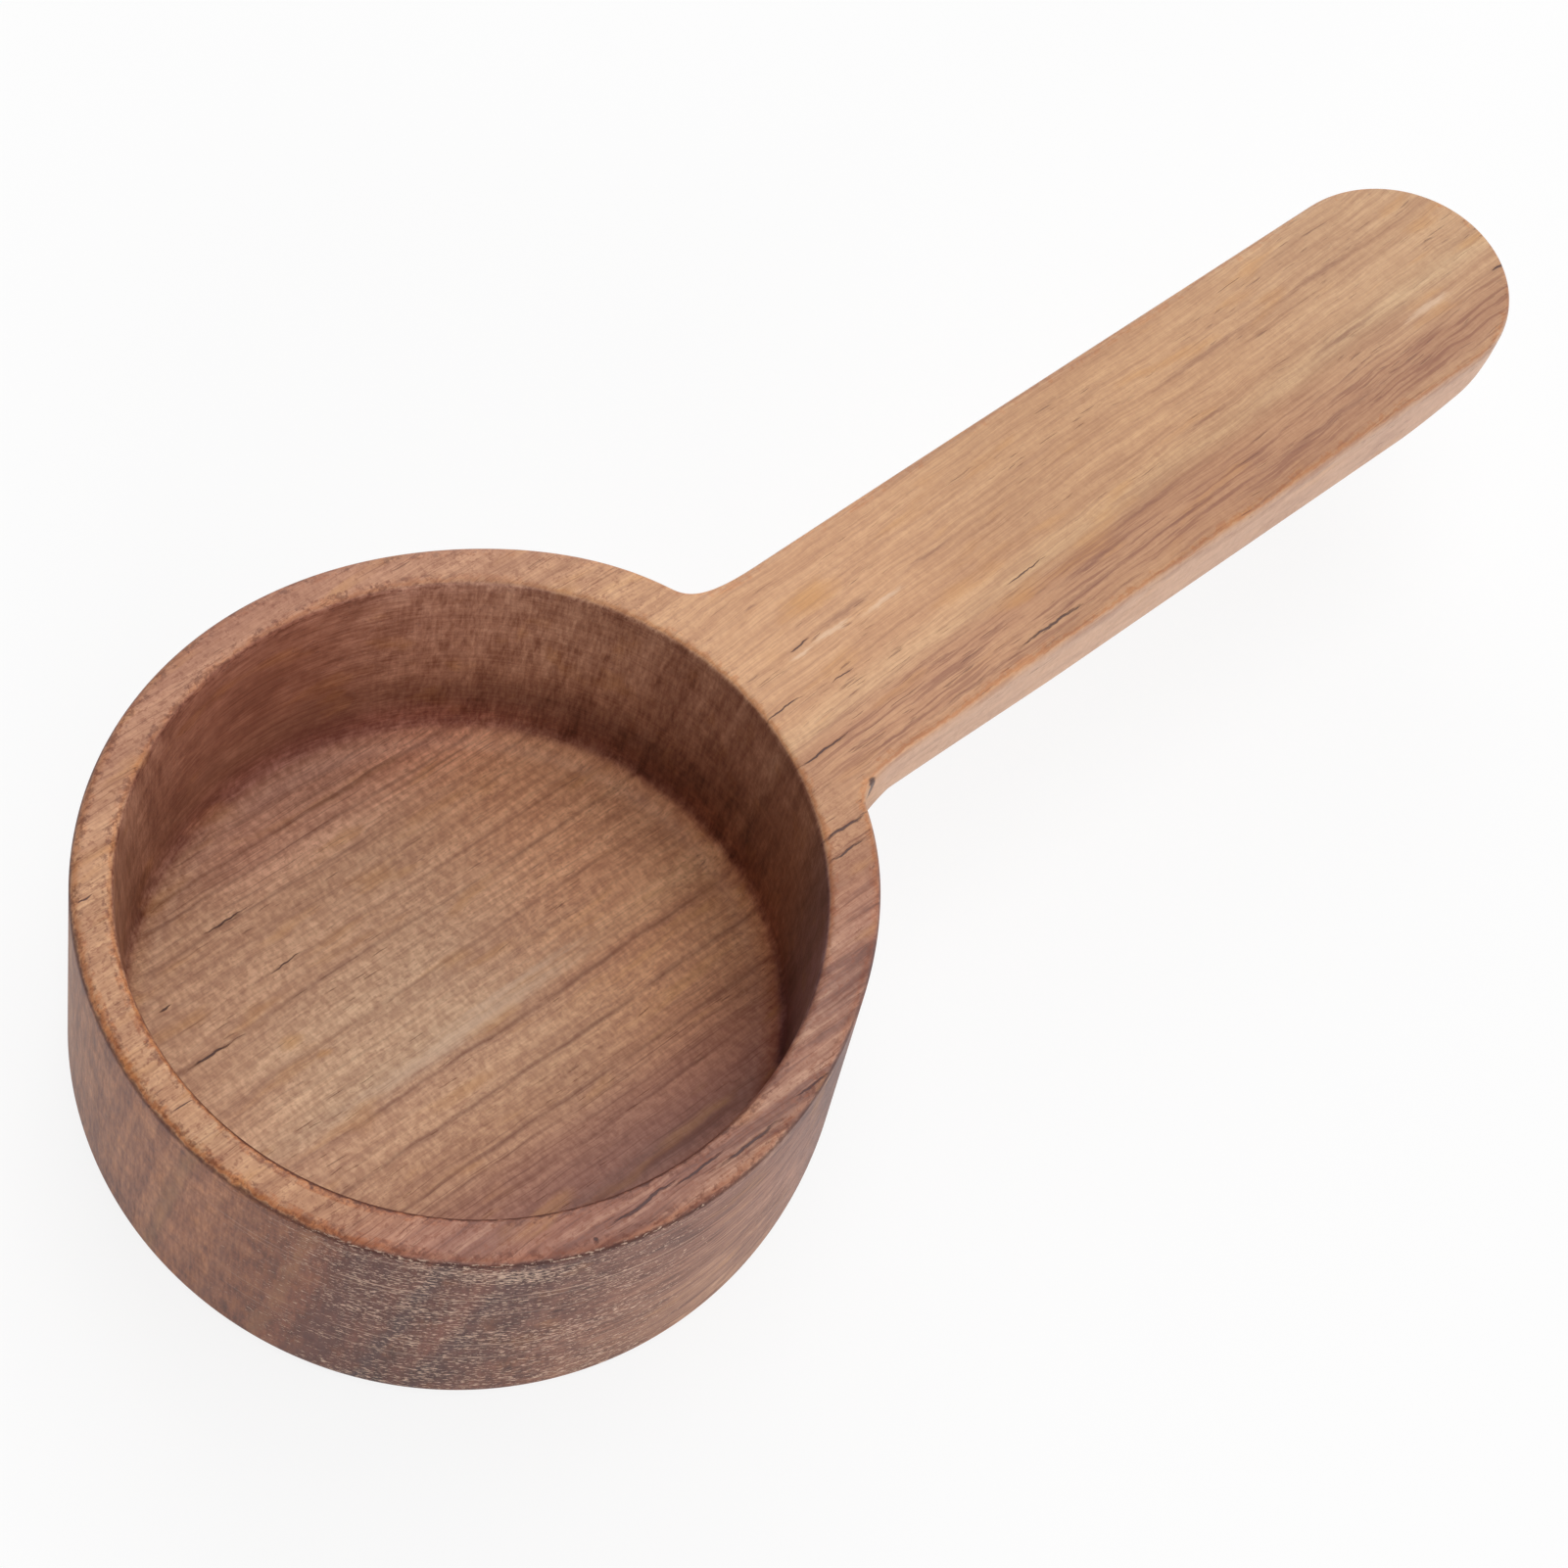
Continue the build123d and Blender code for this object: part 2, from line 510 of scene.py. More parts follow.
# Tones that its patterns, streaks and edges are painted with
VEIN_DARK = tint(104, 66, 60)
VEIN_PALE = tint(208, 160, 134)
# Painted light on the handle's side
SIDE_PAINTED_LIGHT = tint(208, 176, 156)
RUST_BROWN = tint(140, 84, 62)
PIT_BROWN = tint(126, 72, 52)
OCHRE = tint(205, 148, 84)
HANDLE_VEIN_BROWN = tint(162, 110, 86)
PLUM_DARK = tint(124, 74, 60)
LINE_BROWN = tint(104, 50, 32)
FINE_LINE_BROWN = tint(104, 56, 40)
PORE_DARK = tint(96, 62, 52)
STREAK_PALE = tint(230, 200, 172)
STREAK_BROWN = tint(122, 76, 62)
STREAK_DARK = tint(56, 32, 36)
SPECK_DARK = tint(96, 48, 34)
EDGE_DARK = tint(72, 34, 26)
TORN_PALE = tint(222, 190, 168)
# Painted light on the base edge
FOOT_PAINTED_LIGHT = tint(200, 170, 148)

# Patterns: the length of a cell in x, y and z in millimetres, detail, roughness and seed
WANDER = ((38.0, 16.0, 16.0), 1.0, 0.5, 0.0)
WAVES = ((4.0, 3.0, 3.0), 3.0, 0.5, 3.0)
DRIFTS = ((26.0, 2.2, 9.0), 2.0, 0.5, 11.0)
FIBRES = ((11.0, 0.5, 1.4), 3.0, 0.6, 5.0)
HAIRS = ((4.0, 0.12, 0.3), 3.0, 0.6, 8.0)
FRONT_VEINS = ((8.0, 0.5, 2.0), 3.0, 0.6, 35.0)
BLOTCHES = ((0.55, 0.7, 0.7), 2.0, 0.55, 2.0)
TICKS = ((0.2, 0.7, 0.7), 1.0, 0.5, 17.0)
RUST = ((0.5, 0.2, 0.3), 2.0, 0.6, 23.0)
RUST_ZONES = ((7.0, 3.0, 3.0), 1.0, 0.5, 27.0)
PITS = ((0.5, 0.4, 0.4), 2.0, 0.6, 25.0)
OCHRE_PATCHES = ((8.0, 1.8, 3.0), 2.0, 0.5, 21.0)
OCHRE_FRAY = ((2.0, 0.7, 0.7), 2.0, 0.5, 29.0)
PLUM_VEINS = ((8.0, 0.32, 1.2), 3.0, 0.6, 31.0)
LINE_BREAKS = ((5.0, 0.9, 0.9), 3.0, 0.6, 41.0)
FINE_LINES = ((9.0, 0.16, 0.6), 2.0, 0.6, 45.0)
DASHES = ((2.4, 0.15, 0.15), 1.0, 0.5, 51.0)
DASH_ZONES = ((9.0, 2.5, 4.0), 1.0, 0.5, 61.0)
STREAK_SWAY = ((1.5, 3.0, 3.0), 2.0, 0.6, 67.0)
STREAK_FRAY = ((1.4, 0.1, 0.5), 3.0, 0.7, 71.0)
WALL_TICKS = ((0.3, 0.3, 1.8), 2.0, 0.6, 75.0)
WALL_STRIPES = ((60.0, 1.3, 60.0), 3.0, 0.6, 73.0)
WALL_MARKS = ((9.0, 9.0, 0.2), 2.0, 0.6, 77.0)
WALL_CLOUDS = ((2.5, 2.5, 2.5), 3.0, 0.6, 79.0)
LONG_GRAIN = ((10.0, 0.6, 0.35), 3.0, 0.65, 76.0)
BAND_FRAY = ((2.0, 2.0, 3.0), 3.0, 0.7, 74.0)
WORN_PATCHES = ((0.8, 0.8, 0.5), 3.0, 0.65, 81.0)
WORN_STRETCHES = ((7.0, 7.0, 4.0), 1.0, 0.5, 83.0)
EDGE_SPECKS = ((0.55, 0.55, 0.3), 3.0, 0.65, 87.0)
TORN_ZONES = ((6.0, 3.0, 9.0), 2.0, 0.5, 95.0)
TORN_FINE = ((0.45, 0.14, 3.0), 2.0, 0.65, 91.0)
TORN_BROAD = ((1.3, 0.3, 3.0), 2.0, 0.6, 93.0)
TOOL_MARK_BREAKS = ((4.0, 1.5, 9.0), 2.0, 0.5, 97.0)

# From here on a fade is where it starts and where it is full, in millimetres or as a share, and last what it
# goes from and to, where that isn't 0 and 1

# How far the fibres wander and wave, how the handle's fibres slope, and how the rings lean outwards with
# height
WANDER_WIDE = 1.8
WAVES_WIDE = 0.5
SLOPE_FROM = 24.0
HANDLE_SLOPE = 0.04
RING_LEAN = 0.15

# Telling the surfaces apart: by the upward share of the normal, the reach from the bowl's axis, or x, y and z
UPRIGHT = (0.8, 0.4)
OUTER_REACH = (25.0, 25.6)
INNER_REACH = (24.0, 23.6)
FLOOR_REACH = (24.6, 23.6)
HANDLE_X = (16.0, 22.0)
HANDLE_Y = (13.0, 10.0)
HANDLE_Z = (13.0, 15.0)
HANDLE_SIDE_X = (25.0, 29.0)
FLOOR_Z = (8.0, 4.0)
TOP_Z = (20.5, 21.5)


def wood_places(g):
    """What the patterns read, in millimetres.

    grain has x along the fibres, y drawn straight where the handle's fibres slope, with a slow wander and a
    small waviness, and z up. ring is that y plus a share of the height above the floor. around is measured
    round the bowl's wall from its far side and reach from its axis. end is 1 where fibres meet the surface
    end on, upright is 1 on walls, and gap is the distance to the nearest edge. inside and outside are the
    bowl's walls, low its floor and top the top face.
    """
    at = SimpleNamespace()
    coordinate = g.add("ShaderNodeTexCoord")
    metres = coordinate.outputs["Object"]
    at.mm = g.add("ShaderNodeVectorMath", {"operation": "SCALE"}, Vector=metres, Scale=1 / MM).outputs[0]
    at.x, at.y, at.z = g.add("ShaderNodeSeparateXYZ", Vector=at.mm).outputs
    at.drop = g.times(g.math("MAXIMUM", g.minus(at.x, SLOPE_FROM), 0.0), HANDLE_SLOPE)
    bent = g.plus(g.drift(at.mm, WANDER, WANDER_WIDE), g.drift(at.mm, WAVES, WAVES_WIDE))
    straight_y = g.plus(g.minus(at.y, at.drop), bent)
    at.grain = g.vector(at.x, straight_y, at.z)
    at.ring = g.plus(straight_y, g.times(g.minus(at.z, FLOOR / MM), RING_LEAN))
    at.rings = g.vector(at.x, at.ring, at.z)
    at.around = g.times(g.math("ARCTAN2", at.y, g.times(at.x, -1.0)), RIM_R / MM)
    at.reach = g.math("SQRT", g.plus(g.times(at.x, at.x), g.times(at.y, at.y)))
    at.wall = g.vector(at.around, at.z, at.reach)
    facing = g.add("ShaderNodeSeparateXYZ", Vector=coordinate.outputs["Normal"]).outputs
    at.facing_up = facing[2]
    at.upright = g.fade(g.math("ABSOLUTE", at.facing_up), *UPRIGHT)
    at.end = g.times(g.times(facing[0], facing[0]), at.upright)
    handle_zone = g.times(g.fade(g.math("ABSOLUTE", at.y), *HANDLE_Y), g.fade(at.z, *HANDLE_Z))
    not_handle = g.minus(1.0, g.times(g.fade(at.x, *HANDLE_X), handle_zone))
    at.outside = g.times(at.upright, g.times(g.fade(at.reach, *OUTER_REACH), not_handle))
    at.inside = g.times(at.upright, g.fade(at.reach, *INNER_REACH))
    at.outer_end = g.times(at.end, at.outside)
    at.hollow_end = g.times(at.end, at.inside)
    at.handle_side = g.times(at.upright, g.fade(at.x, *HANDLE_SIDE_X))
    at.low = g.times(g.fade(at.z, *FLOOR_Z), g.fade(at.reach, *FLOOR_REACH))
    at.top = g.fade(at.z, *TOP_Z)
    at.gap = g.times(g.add("ShaderNodeAttribute", {"attribute_name": "edge_gap"}).outputs["Fac"], 1 / MM)
    return at


# Which tone lies where across the rings, in millimetres: 0 is the middle of the bowl's floor
RING_TONES = (
    (-27.0, CLAY), (-24.0, RUSSET), (-21.0, UMBER), (-19.0, PLUM), (-16.8, UMBER), (-14.8, PLUM),
    (-12.0, RUSSET),
    (-9.0, CLAY), (-4.5, TAN), (-2.7, CLAY), (-1.2, HONEY), (0.6, TAN), (15.5, TAN), (18.5, CLAY),
    (28.0, RUSSET),
)
DRIFT_SHADE = (0.3, 0.7, -0.08, 0.08)
FIBRE_SHADE = (0.3, 0.7, -0.09, 0.07)
HAIR_SHADE = (0.3, 0.7, -0.08, 0.07)


def ground_colour(g, at):
    """Ring tones, shaded by drifts, fibres and hairs; at.fibres and at.hairs are kept for relief."""
    colour = g.ramp(at.ring, RING_TONES)
    drifts = g.noise(at.rings, *DRIFTS)
    at.fibres = g.noise(at.rings, *FIBRES)
    at.hairs = g.noise(at.grain, *HAIRS)
    change = g.plus(g.fade(drifts, *DRIFT_SHADE), g.fade(at.fibres, *FIBRE_SHADE))
    change = g.plus(change, g.fade(at.hairs, *HAIR_SHADE))
    return g.shade(colour, g.plus(change, 1.0))


# Places toned apart from the rings, some of it painted light: what each lies on, its bounds and its shares of
# red, green and blue
FRONT_RING = (-10.0, -14.0)
FRONT_SHARES = (1.29, 1.38, 1.40)
DARK_VEINS = (0.5, 0.62, 0.0, 0.6)
PALE_VEINS = (0.48, 0.36, 0.0, 0.35)
DRY_LEAN = -0.25
SIDE_PAINTED_LIGHT_SHARE = 0.55
REGIONS = (
    # The rim: its front right, below the neck, its far side and its back
    ("front", (("x", 12.0, 5.0, 9.0),), (1.07, 1.16, 1.14)),
    ("top", (("y", -2.0, -7.0), ("x", 5.5, 3.0, 20.5)), (0.85, 0.82, 0.82)),
    ("top", (("x", -19.0, -24.0),), (0.88, 0.85, 0.86)),
    ("top", (("y", 11.0, 18.0), ("x", 26.0, 22.0)), (1.04, 1.06, 1.09)),
    # The handle, and its tip
    ("top", (("x", 34.0, 52.0),), (0.87, 0.87, 0.845)),
    ("top", (("x", 62.0, 88.0),), (1.01, 1.075, 1.15)),
    # The floor: towards the handle, redder and lighter with painted light reflected from the wall; where it is
    # dry, all of it, its back and its middle
    ("low", (("x", 2.0, 15.0),), (1.16, 1.03, 0.94)),
    ("low", (("dry", -9.0, 1.0),), (1.03, 1.06, 1.13)),
    ("low", (), (1.0, 1.02, 1.06)),
    ("low", (("y", 13.0, 19.0), ("x", -12.0, -4.0)), (1.2, 1.16, 1.25)),
    ("low", (("x", 12.0, 4.0, -6.0), ("y", 9.0, 4.0), ("y", -4.0, -1.0)), (1.03, 1.10, 1.12)),
)


def regions(g, at, colour):
    """Places toned apart from the rings: the rim's veined front, REGIONS, and painted light on the handle's
    side.
    """
    at.front = g.times(at.top, g.fade(at.ring, *FRONT_RING))
    at.dry = g.plus(at.ring, g.times(at.x, DRY_LEAN))
    colour = g.tone(colour, at.front, FRONT_SHARES)
    veins = g.noise(at.rings, *FRONT_VEINS)
    colour = g.blend(g.times(at.front, g.fade(veins, *DARK_VEINS)), colour, VEIN_DARK)
    colour = g.blend(g.times(at.front, g.fade(veins, *PALE_VEINS)), colour, VEIN_PALE)
    colour = g.tone_places(at, colour, REGIONS)
    # Painted light: the handle's side made pale, as if lit from the table
    return g.blend(g.times(at.handle_side, SIDE_PAINTED_LIGHT_SHARE), colour, SIDE_PAINTED_LIGHT)


# Blotches, ticks and rust specks: how they shade, and how strong they are everywhere, on the floor and on the
# rim
MOTTLED_RIM_X = (26.0, 20.0)
BLOTCH_SHADE = (0.35, 0.65, -0.13, 0.1)
TICK_SHADE = (0.3, 0.7, -0.06, 0.05)
MOTTLE_SHARES = (0.28, 0.72, 0.32)
RUST_ZONE = (0.35, 0.65, 0.35, 1.0)
RUST_SHARES = (0.14, 0.2, 0.38)
RUST_SPECK = (0.54, 0.66)
PIT = (0.57, 0.68)
PIT_SHARE = (12.0, -4.0, 0.36, 0.5)


def mottle(g, at, colour):
    """Blotches and ticks across the fibres, strongest on the floor, small rust specks, and pits on the rim."""
    on_rim = g.times(at.top, g.fade(at.x, *MOTTLED_RIM_X))

    def strength(everywhere, on_floor, rim):
        return g.plus(g.plus(everywhere, g.times(at.low, on_floor)), g.times(on_rim, rim))

    at.blotches = g.noise(at.grain, *BLOTCHES)
    change = g.plus(g.fade(at.blotches, *BLOTCH_SHADE), g.fade(g.noise(at.grain, *TICKS), *TICK_SHADE))
    colour = g.shade(colour, g.plus(1.0, g.times(change, strength(*MOTTLE_SHARES))))
    share = g.times(g.fade(g.noise(at.grain, *RUST_ZONES), *RUST_ZONE), strength(*RUST_SHARES))
    colour = g.blend(g.times(g.fade(g.noise(at.grain, *RUST), *RUST_SPECK), share), colour, RUST_BROWN)
    pits = g.times(g.fade(g.noise(at.mm, *PITS), *PIT), on_rim)
    return g.blend(g.times(pits, g.fade(at.x, *PIT_SHARE)), colour, PIT_BROWN)


# Ochre and plum: spots listed (x, y, z, half length, half width) and the vein on the handle's -Y side
OCHRE_SPOTS = (
    (31.8, 4.1, 22.4, 3.2, 1.3), (44.7, -4.4, 22.4, 2.2, 0.7), (-10.6, 5.0, 2.5, 1.2, 0.7),
    (-9.4, 2.9, 2.5, 0.9, 0.4),
)
OCHRE_PATCH = (0.56, 0.72, 0.0, 0.3)
OCHRE_SPOT = (1.1, 0.2, 0.0, 0.5)
PLUM_VEIN = (0.48, 0.62)
PLUM_SHARE = 0.16
VEIN_Y = -6.3
VEIN_WIDE = (3.6, 0.6)
VEIN_X = (22.0, 28.0)
VEIN_BROWN_SHARE = 0.3
VEIN_PLUM_SHARE = 0.4


def warm_and_plum(g, at, colour):
    """Ochre patches, and the purplish vein that runs along the handle's -Y side."""
    patches = g.fade(g.noise(at.grain, *OCHRE_PATCHES), *OCHRE_PATCH)
    spots = g.fade(g.plus(streak_gap(g, at, OCHRE_SPOTS), g.drift(at.mm, OCHRE_FRAY)), *OCHRE_SPOT)
    colour = g.blend(g.most(patches, spots), colour, OCHRE)
    plum = g.fade(g.noise(at.rings, *PLUM_VEINS), *PLUM_VEIN)
    on_handle = g.times(at.top, g.fade(at.x, *VEIN_X))
    at.vein = g.times(g.fade(g.away(at.y, VEIN_Y), *VEIN_WIDE), on_handle)
    colour = g.blend(g.times(at.vein, VEIN_BROWN_SHARE), colour, HANDLE_VEIN_BROWN)
    return g.blend(g.times(plum, g.plus(PLUM_SHARE, g.times(at.vein, VEIN_PLUM_SHARE))), colour, PLUM_DARK)


# Thin dark ring lines: ring coordinate and half width in millimetres, and how dark from 0 to 1
RING_LINES = (
    (-19.3, 0.4, 0.7), (-16.9, 0.4, 0.9), (-14.6, 0.2, 0.4), (-12.8, 0.25, 0.7), (-11.6, 0.18, 0.5),
    (-10.5, 0.2, 0.6), (-9.5, 0.28, 0.8), (-6.1, 0.3, 0.8), (-2.8, 0.28, 0.8), (1.2, 0.2, 0.35),
    (3.4, 0.2, 0.4), (7.5, 0.32, 0.6), (10.0, 0.18, 0.35), (14.9, 0.22, 0.5), (17.4, 0.25, 0.6),
    (18.9, 0.3, 0.6), (21.0, 0.25, 0.5),
)
LINE_BROKEN = (0.32, 0.6, 0.25, 1.0)
LINE_SHARE = 0.12
LINE_FLOOR_SHARE = 0.7
LINE_RIM_X = (24.0, 18.0, 0.0, 0.35)
LINE_LOST_ON_WALLS = 0.8

# Fine lines: the rings and the stretch of rim that have them most, and how strong they are
FINE_LINE = (0.56, 0.7)
FINE_FRONT_RING = (-7.5, -9.5)
FINE_BACK_RING = (13.0, 17.0, 0.0, 0.7)
FINE_RIM_X = (-12.0, -20.0, 0.0, 0.3)
FINE_LEAST = 0.25
FINE_SHARE = 0.55


def ring_lines(g, at, colour):
    """Thin dark lines between rings, broken along their length, strong on the floor and faint on end grain."""
    dark = 0.0
    for place, half, depth in RING_LINES:
        dark = g.most(dark, g.times(g.near(at.ring, place, half), depth))
    broken = g.fade(g.noise(at.grain, *LINE_BREAKS), *LINE_BROKEN)
    on_rim = g.times(at.top, g.fade(at.x, *LINE_RIM_X))
    where = g.plus(LINE_SHARE, g.plus(g.times(at.low, LINE_FLOOR_SHARE), on_rim))
    where = g.times(where, g.minus(1.0, g.times(at.upright, LINE_LOST_ON_WALLS)))
    colour = g.blend(g.times(g.times(dark, broken), where), colour, LINE_BROWN)
    fine = g.fade(g.noise(at.rings, *FINE_LINES), *FINE_LINE)
    veined = g.most(g.fade(at.ring, *FINE_FRONT_RING), g.fade(at.ring, *FINE_BACK_RING))
    veined = g.most(veined, g.times(at.top, g.fade(at.x, *FINE_RIM_X)))
    veined = g.times(g.plus(FINE_LEAST, g.times(veined, 1.0 - FINE_LEAST)), g.minus(1.0, at.upright))
    return g.blend(g.times(g.times(fine, veined), FINE_SHARE), colour, FINE_LINE_BROWN)


DASH = (0.66, 0.75)
DASH_ZONE = (0.42, 0.62, 0.1, 1.0)
DASH_VEIN_X = (62.0, 36.0)
DASH_SHARE = 0.5


def pores(g, at, colour):
    """Dark dashes along the fibres: a few everywhere, more in patches and along the handle's vein."""
    dashes = g.fade(g.noise(at.grain, *DASHES), *DASH)
    patches = g.fade(g.noise(at.grain, *DASH_ZONES), *DASH_ZONE)
    patches = g.most(patches, g.times(at.vein, g.fade(at.x, *DASH_VEIN_X)))
    at.pores = g.times(dashes, patches)
    return g.blend(g.times(at.pores, DASH_SHARE), colour, PORE_DARK)


# Streaks listed one by one: x, y, z of the middle, half length and half width, all in millimetres
DARK_STREAKS = (
    (24.9, -1.7, 22.4, 2.1, 0.09), (30.0, -2.0, 22.4, 1.2, 0.06), (25.2, -5.7, 22.4, 3.0, 0.10),
    (46.1, -3.0, 22.4, 2.3, 0.07), (45.0, -7.4, 22.4, 3.8, 0.14), (22.3, -11.0, 22.4, 2.4, 0.15),
    (21.2, -12.5, 22.4, 2.0, 0.09), (-24.2, -1.7, 22.4, 0.9, 0.06), (29.0, 1.6, 22.4, 1.1, 0.09),
    (-15.6, 7.4, 2.5, 2.0, 0.12), (-8.8, 15.2, 2.5, 2.5, 0.10), (-7.5, 10.1, 2.5, 1.7, 0.07),
    (-16.1, 12.1, 2.5, 0.6, 0.09), (95.6, -3.6, 22.2, 0.9, 0.16), (26.4, -9.4, 22.0, 0.5, 0.3),
    (-5.2, -23.8, 22.4, 3.4, 0.15), (-1.0, -24.1, 22.4, 2.6, 0.12), (2.6, -24.7, 22.4, 3.2, 0.15),
    (8.5, -24.0, 22.4, 2.2, 0.10), (-9.2, -23.9, 22.3, 0.2, 0.2), (-20.9, 13.6, 22.4, 0.6, 0.07),
)
SOFT_STREAKS = (
    (70.0, 3.4, 22.4, 6.0, 0.3), (66.5, -0.9, 22.4, 3.0, 0.22), (80.5, -1.4, 22.4, 3.8, 0.28),
    (60.0, -6.1, 22.4, 5.0, 0.18), (41.6, 2.1, 22.4, 2.5, 0.2), (74.0, -6.4, 22.4, 9.0, 0.35),
    (36.2, -5.0, 22.4, 2.6, 0.16), (40.9, -5.4, 22.4, 3.0, 0.16), (51.0, -5.2, 22.4, 5.0, 0.22),
    (30.2, -7.7, 22.4, 4.0, 0.14), (28.0, -6.8, 22.4, 2.4, 0.14), (57.0, -4.0, 22.4, 4.0, 0.2),
    (49.0, -6.6, 22.4, 5.0, 0.3), (83.0, 3.9, 22.4, 5.0, 0.3), (33.6, 1.9, 22.4, 3.2, 0.35),
    (28.2, 5.9, 22.4, 0.7, 0.12), (37.0, -7.9, 22.4, 6.0, 0.2), (-12.3, 17.4, 2.5, 3.4, 0.14),
)
PALE_STREAKS = (
    (28.8, 1.0, 22.4, 1.2, 0.22), (31.6, 1.2, 22.4, 2.2, 0.26), (36.3, 1.0, 22.4, 2.4, 0.24),
    (88.0, -3.2, 22.4, 3.0, 0.4), (-1.0, -1.5, 2.5, 13.0, 0.8), (4.0, -0.6, 2.5, 8.0, 0.4),
)

# How deep streaks go and how far they sway, in millimetres; for each kind how wide its fray is, how its edge
# fades and how strong it is
STREAK_DEPTH = 2.5
STREAK_SWAY_WIDE = 0.55
FARTHEST = 9.0
PALE_FRAY, PALE_EDGE, PALE_SHARE, PALE_LOST_ON_FLOOR = 1.6, (1.1, 0.2), 0.5, 0.1
SOFT_FRAY, SOFT_EDGE, SOFT_SHARE = 2.0, (1.2, 0.1), 0.5
DARK_FRAY, DARK_EDGE, DARK_SHARE = 1.4, (1.0, 0.4), 0.88


def streak_gap(g, at, streaks):
    """How near a place is to the nearest of the streaks: 0 in the middle of one and 1 at its rim."""
    sway = g.drift(at.mm, STREAK_SWAY, STREAK_SWAY_WIDE)
    straight = g.vector(at.x, g.plus(g.minus(at.y, at.drop), sway), at.z)
    nearest = FARTHEST
    for x, y, z, long, wide in streaks:
        place = (x, y - max(x - SLOPE_FROM, 0.0) * HANDLE_SLOPE, z)
        shrink = [1.0 / size for size in (long, wide, STREAK_DEPTH)]
        spot = g.add("ShaderNodeVectorMath", {"operation": "MULTIPLY_ADD"})
        moved = [-middle * share for middle, share in zip(place, shrink)]
        for socket, value in zip(spot.inputs, (straight, shrink, moved)):
            g.put(socket, value)
        away = g.add("ShaderNodeVectorMath", {"operation": "LENGTH"}, Vector=spot.outputs[0]).outputs["Value"]
        nearest = g.math("MINIMUM", nearest, away)
    return nearest


def placed_streaks(g, at, colour):
    """Pale, soft brown and near-black streaks, with frayed rims."""
    frayed = g.drift(at.mm, STREAK_FRAY)
    pale = g.fade(g.plus(streak_gap(g, at, PALE_STREAKS), g.times(frayed, PALE_FRAY)), *PALE_EDGE)
    soft = g.fade(g.plus(streak_gap(g, at, SOFT_STREAKS), g.times(frayed, SOFT_FRAY)), *SOFT_EDGE)
    at.streaks = g.fade(g.plus(streak_gap(g, at, DARK_STREAKS), g.times(frayed, DARK_FRAY)), *DARK_EDGE)
    pale_share = g.minus(PALE_SHARE, g.times(at.low, PALE_LOST_ON_FLOOR))
    colour = g.blend(g.times(pale, pale_share), colour, STREAK_PALE)
    colour = g.blend(g.times(soft, SOFT_SHARE), colour, STREAK_BROWN)
    return g.blend(g.times(at.streaks, DARK_SHARE), colour, STREAK_DARK)


WALL_REGIONS = (
    # End grain, which drinks more oil, and then all of each wall
    ("hollow_end", (), (0.56, 0.50, 0.50)),
    ("outer_end", (), (0.76, 0.56, 0.46)),
    ("outside", (), (0.74, 0.68, 0.68)),
    ("inside", (), (0.79, 0.70, 0.78)),
    # The outside's front flank
    ("outside", (("end", 0.35, 0.08), ("y", 0.0, -12.0)), (1.0, 1.08, 1.16)),
    # The hollow: painted light high at the back, the front rim's painted shadow low at the back, high on the
    # left, and painted shade near the neck
    ("inside", (("x", 3.0, 11.0), ("y", 9.0, 17.0), ("z", 8.0, 15.0)), (1.22, 1.31, 1.36)),
    ("inside", (("x", -2.0, 17.0), ("y", 0.0, 8.0), ("z", 11.0, 6.5)), (0.70, 0.66, 0.69)),
    (
        "inside",
        (("x", 10.0, 2.0), ("x", -14.0, -6.0), ("y", 9.0, 17.0), ("z", 8.0, 12.0)),
        (0.89, 0.80, 0.77),
    ),
    ("inside", (("y", -8.0, -14.0), ("x", 8.0, 14.0)), (0.62, 0.72, 1.0)),
)

# How much each wall pattern shades, and where: by the share of end grain, or the height in millimetres
WALL_TICK_SHADE = (0.35, 0.65, -0.15, 0.19)
WALL_STRIPE_SHADE = (0.35, 0.65, -0.18, 0.18)
WALL_MARK_SHADE = (0.35, 0.65, -0.09, 0.09)
WALL_CLOUD_SHADE = (0.35, 0.65, -0.15, 0.14)
LONG_GRAIN_SHADE = (0.38, 0.62, -0.3, 0.24)
LONG_GRAIN_INSIDE = 0.4
TICKS_BY_END = (0.02, 0.3)
LONG_GRAIN_BY_END = (0.5, 0.1)
EVEN_END = 0.35
# Painted shade on the walls by height: the hollow's, lowest where the front rim's shadow falls, and the outer
# wall's near its foot
HOLLOW_PAINTED_SHADE = (7.5, 15.0, -0.3, 0.2)
FOOT_PAINTED_SHADE = (9.0, 2.0, 0.0, 0.2)

# Bands on the outer wall's end grain: ring coordinate, half width, strength and tone
WALL_BANDS = (
    (-1.45, 0.9, 0.3, tint(170, 124, 82)), (-10.4, 0.8, 0.3, tint(166, 122, 84)),
    (-6.6, 1.2, 0.2, tint(110, 70, 56)),
    (-16.9, 0.8, 0.6, tint(80, 58, 60)), (-19.9, 1.0, 0.42, tint(82, 60, 62)),
    (-13.6, 2.3, 0.55, tint(96, 56, 50)),
)
BAND_CORE = 0.1
BAND_FRAY_WIDE = 2.0
BAND_FRAY_MIDDLE = 0.45


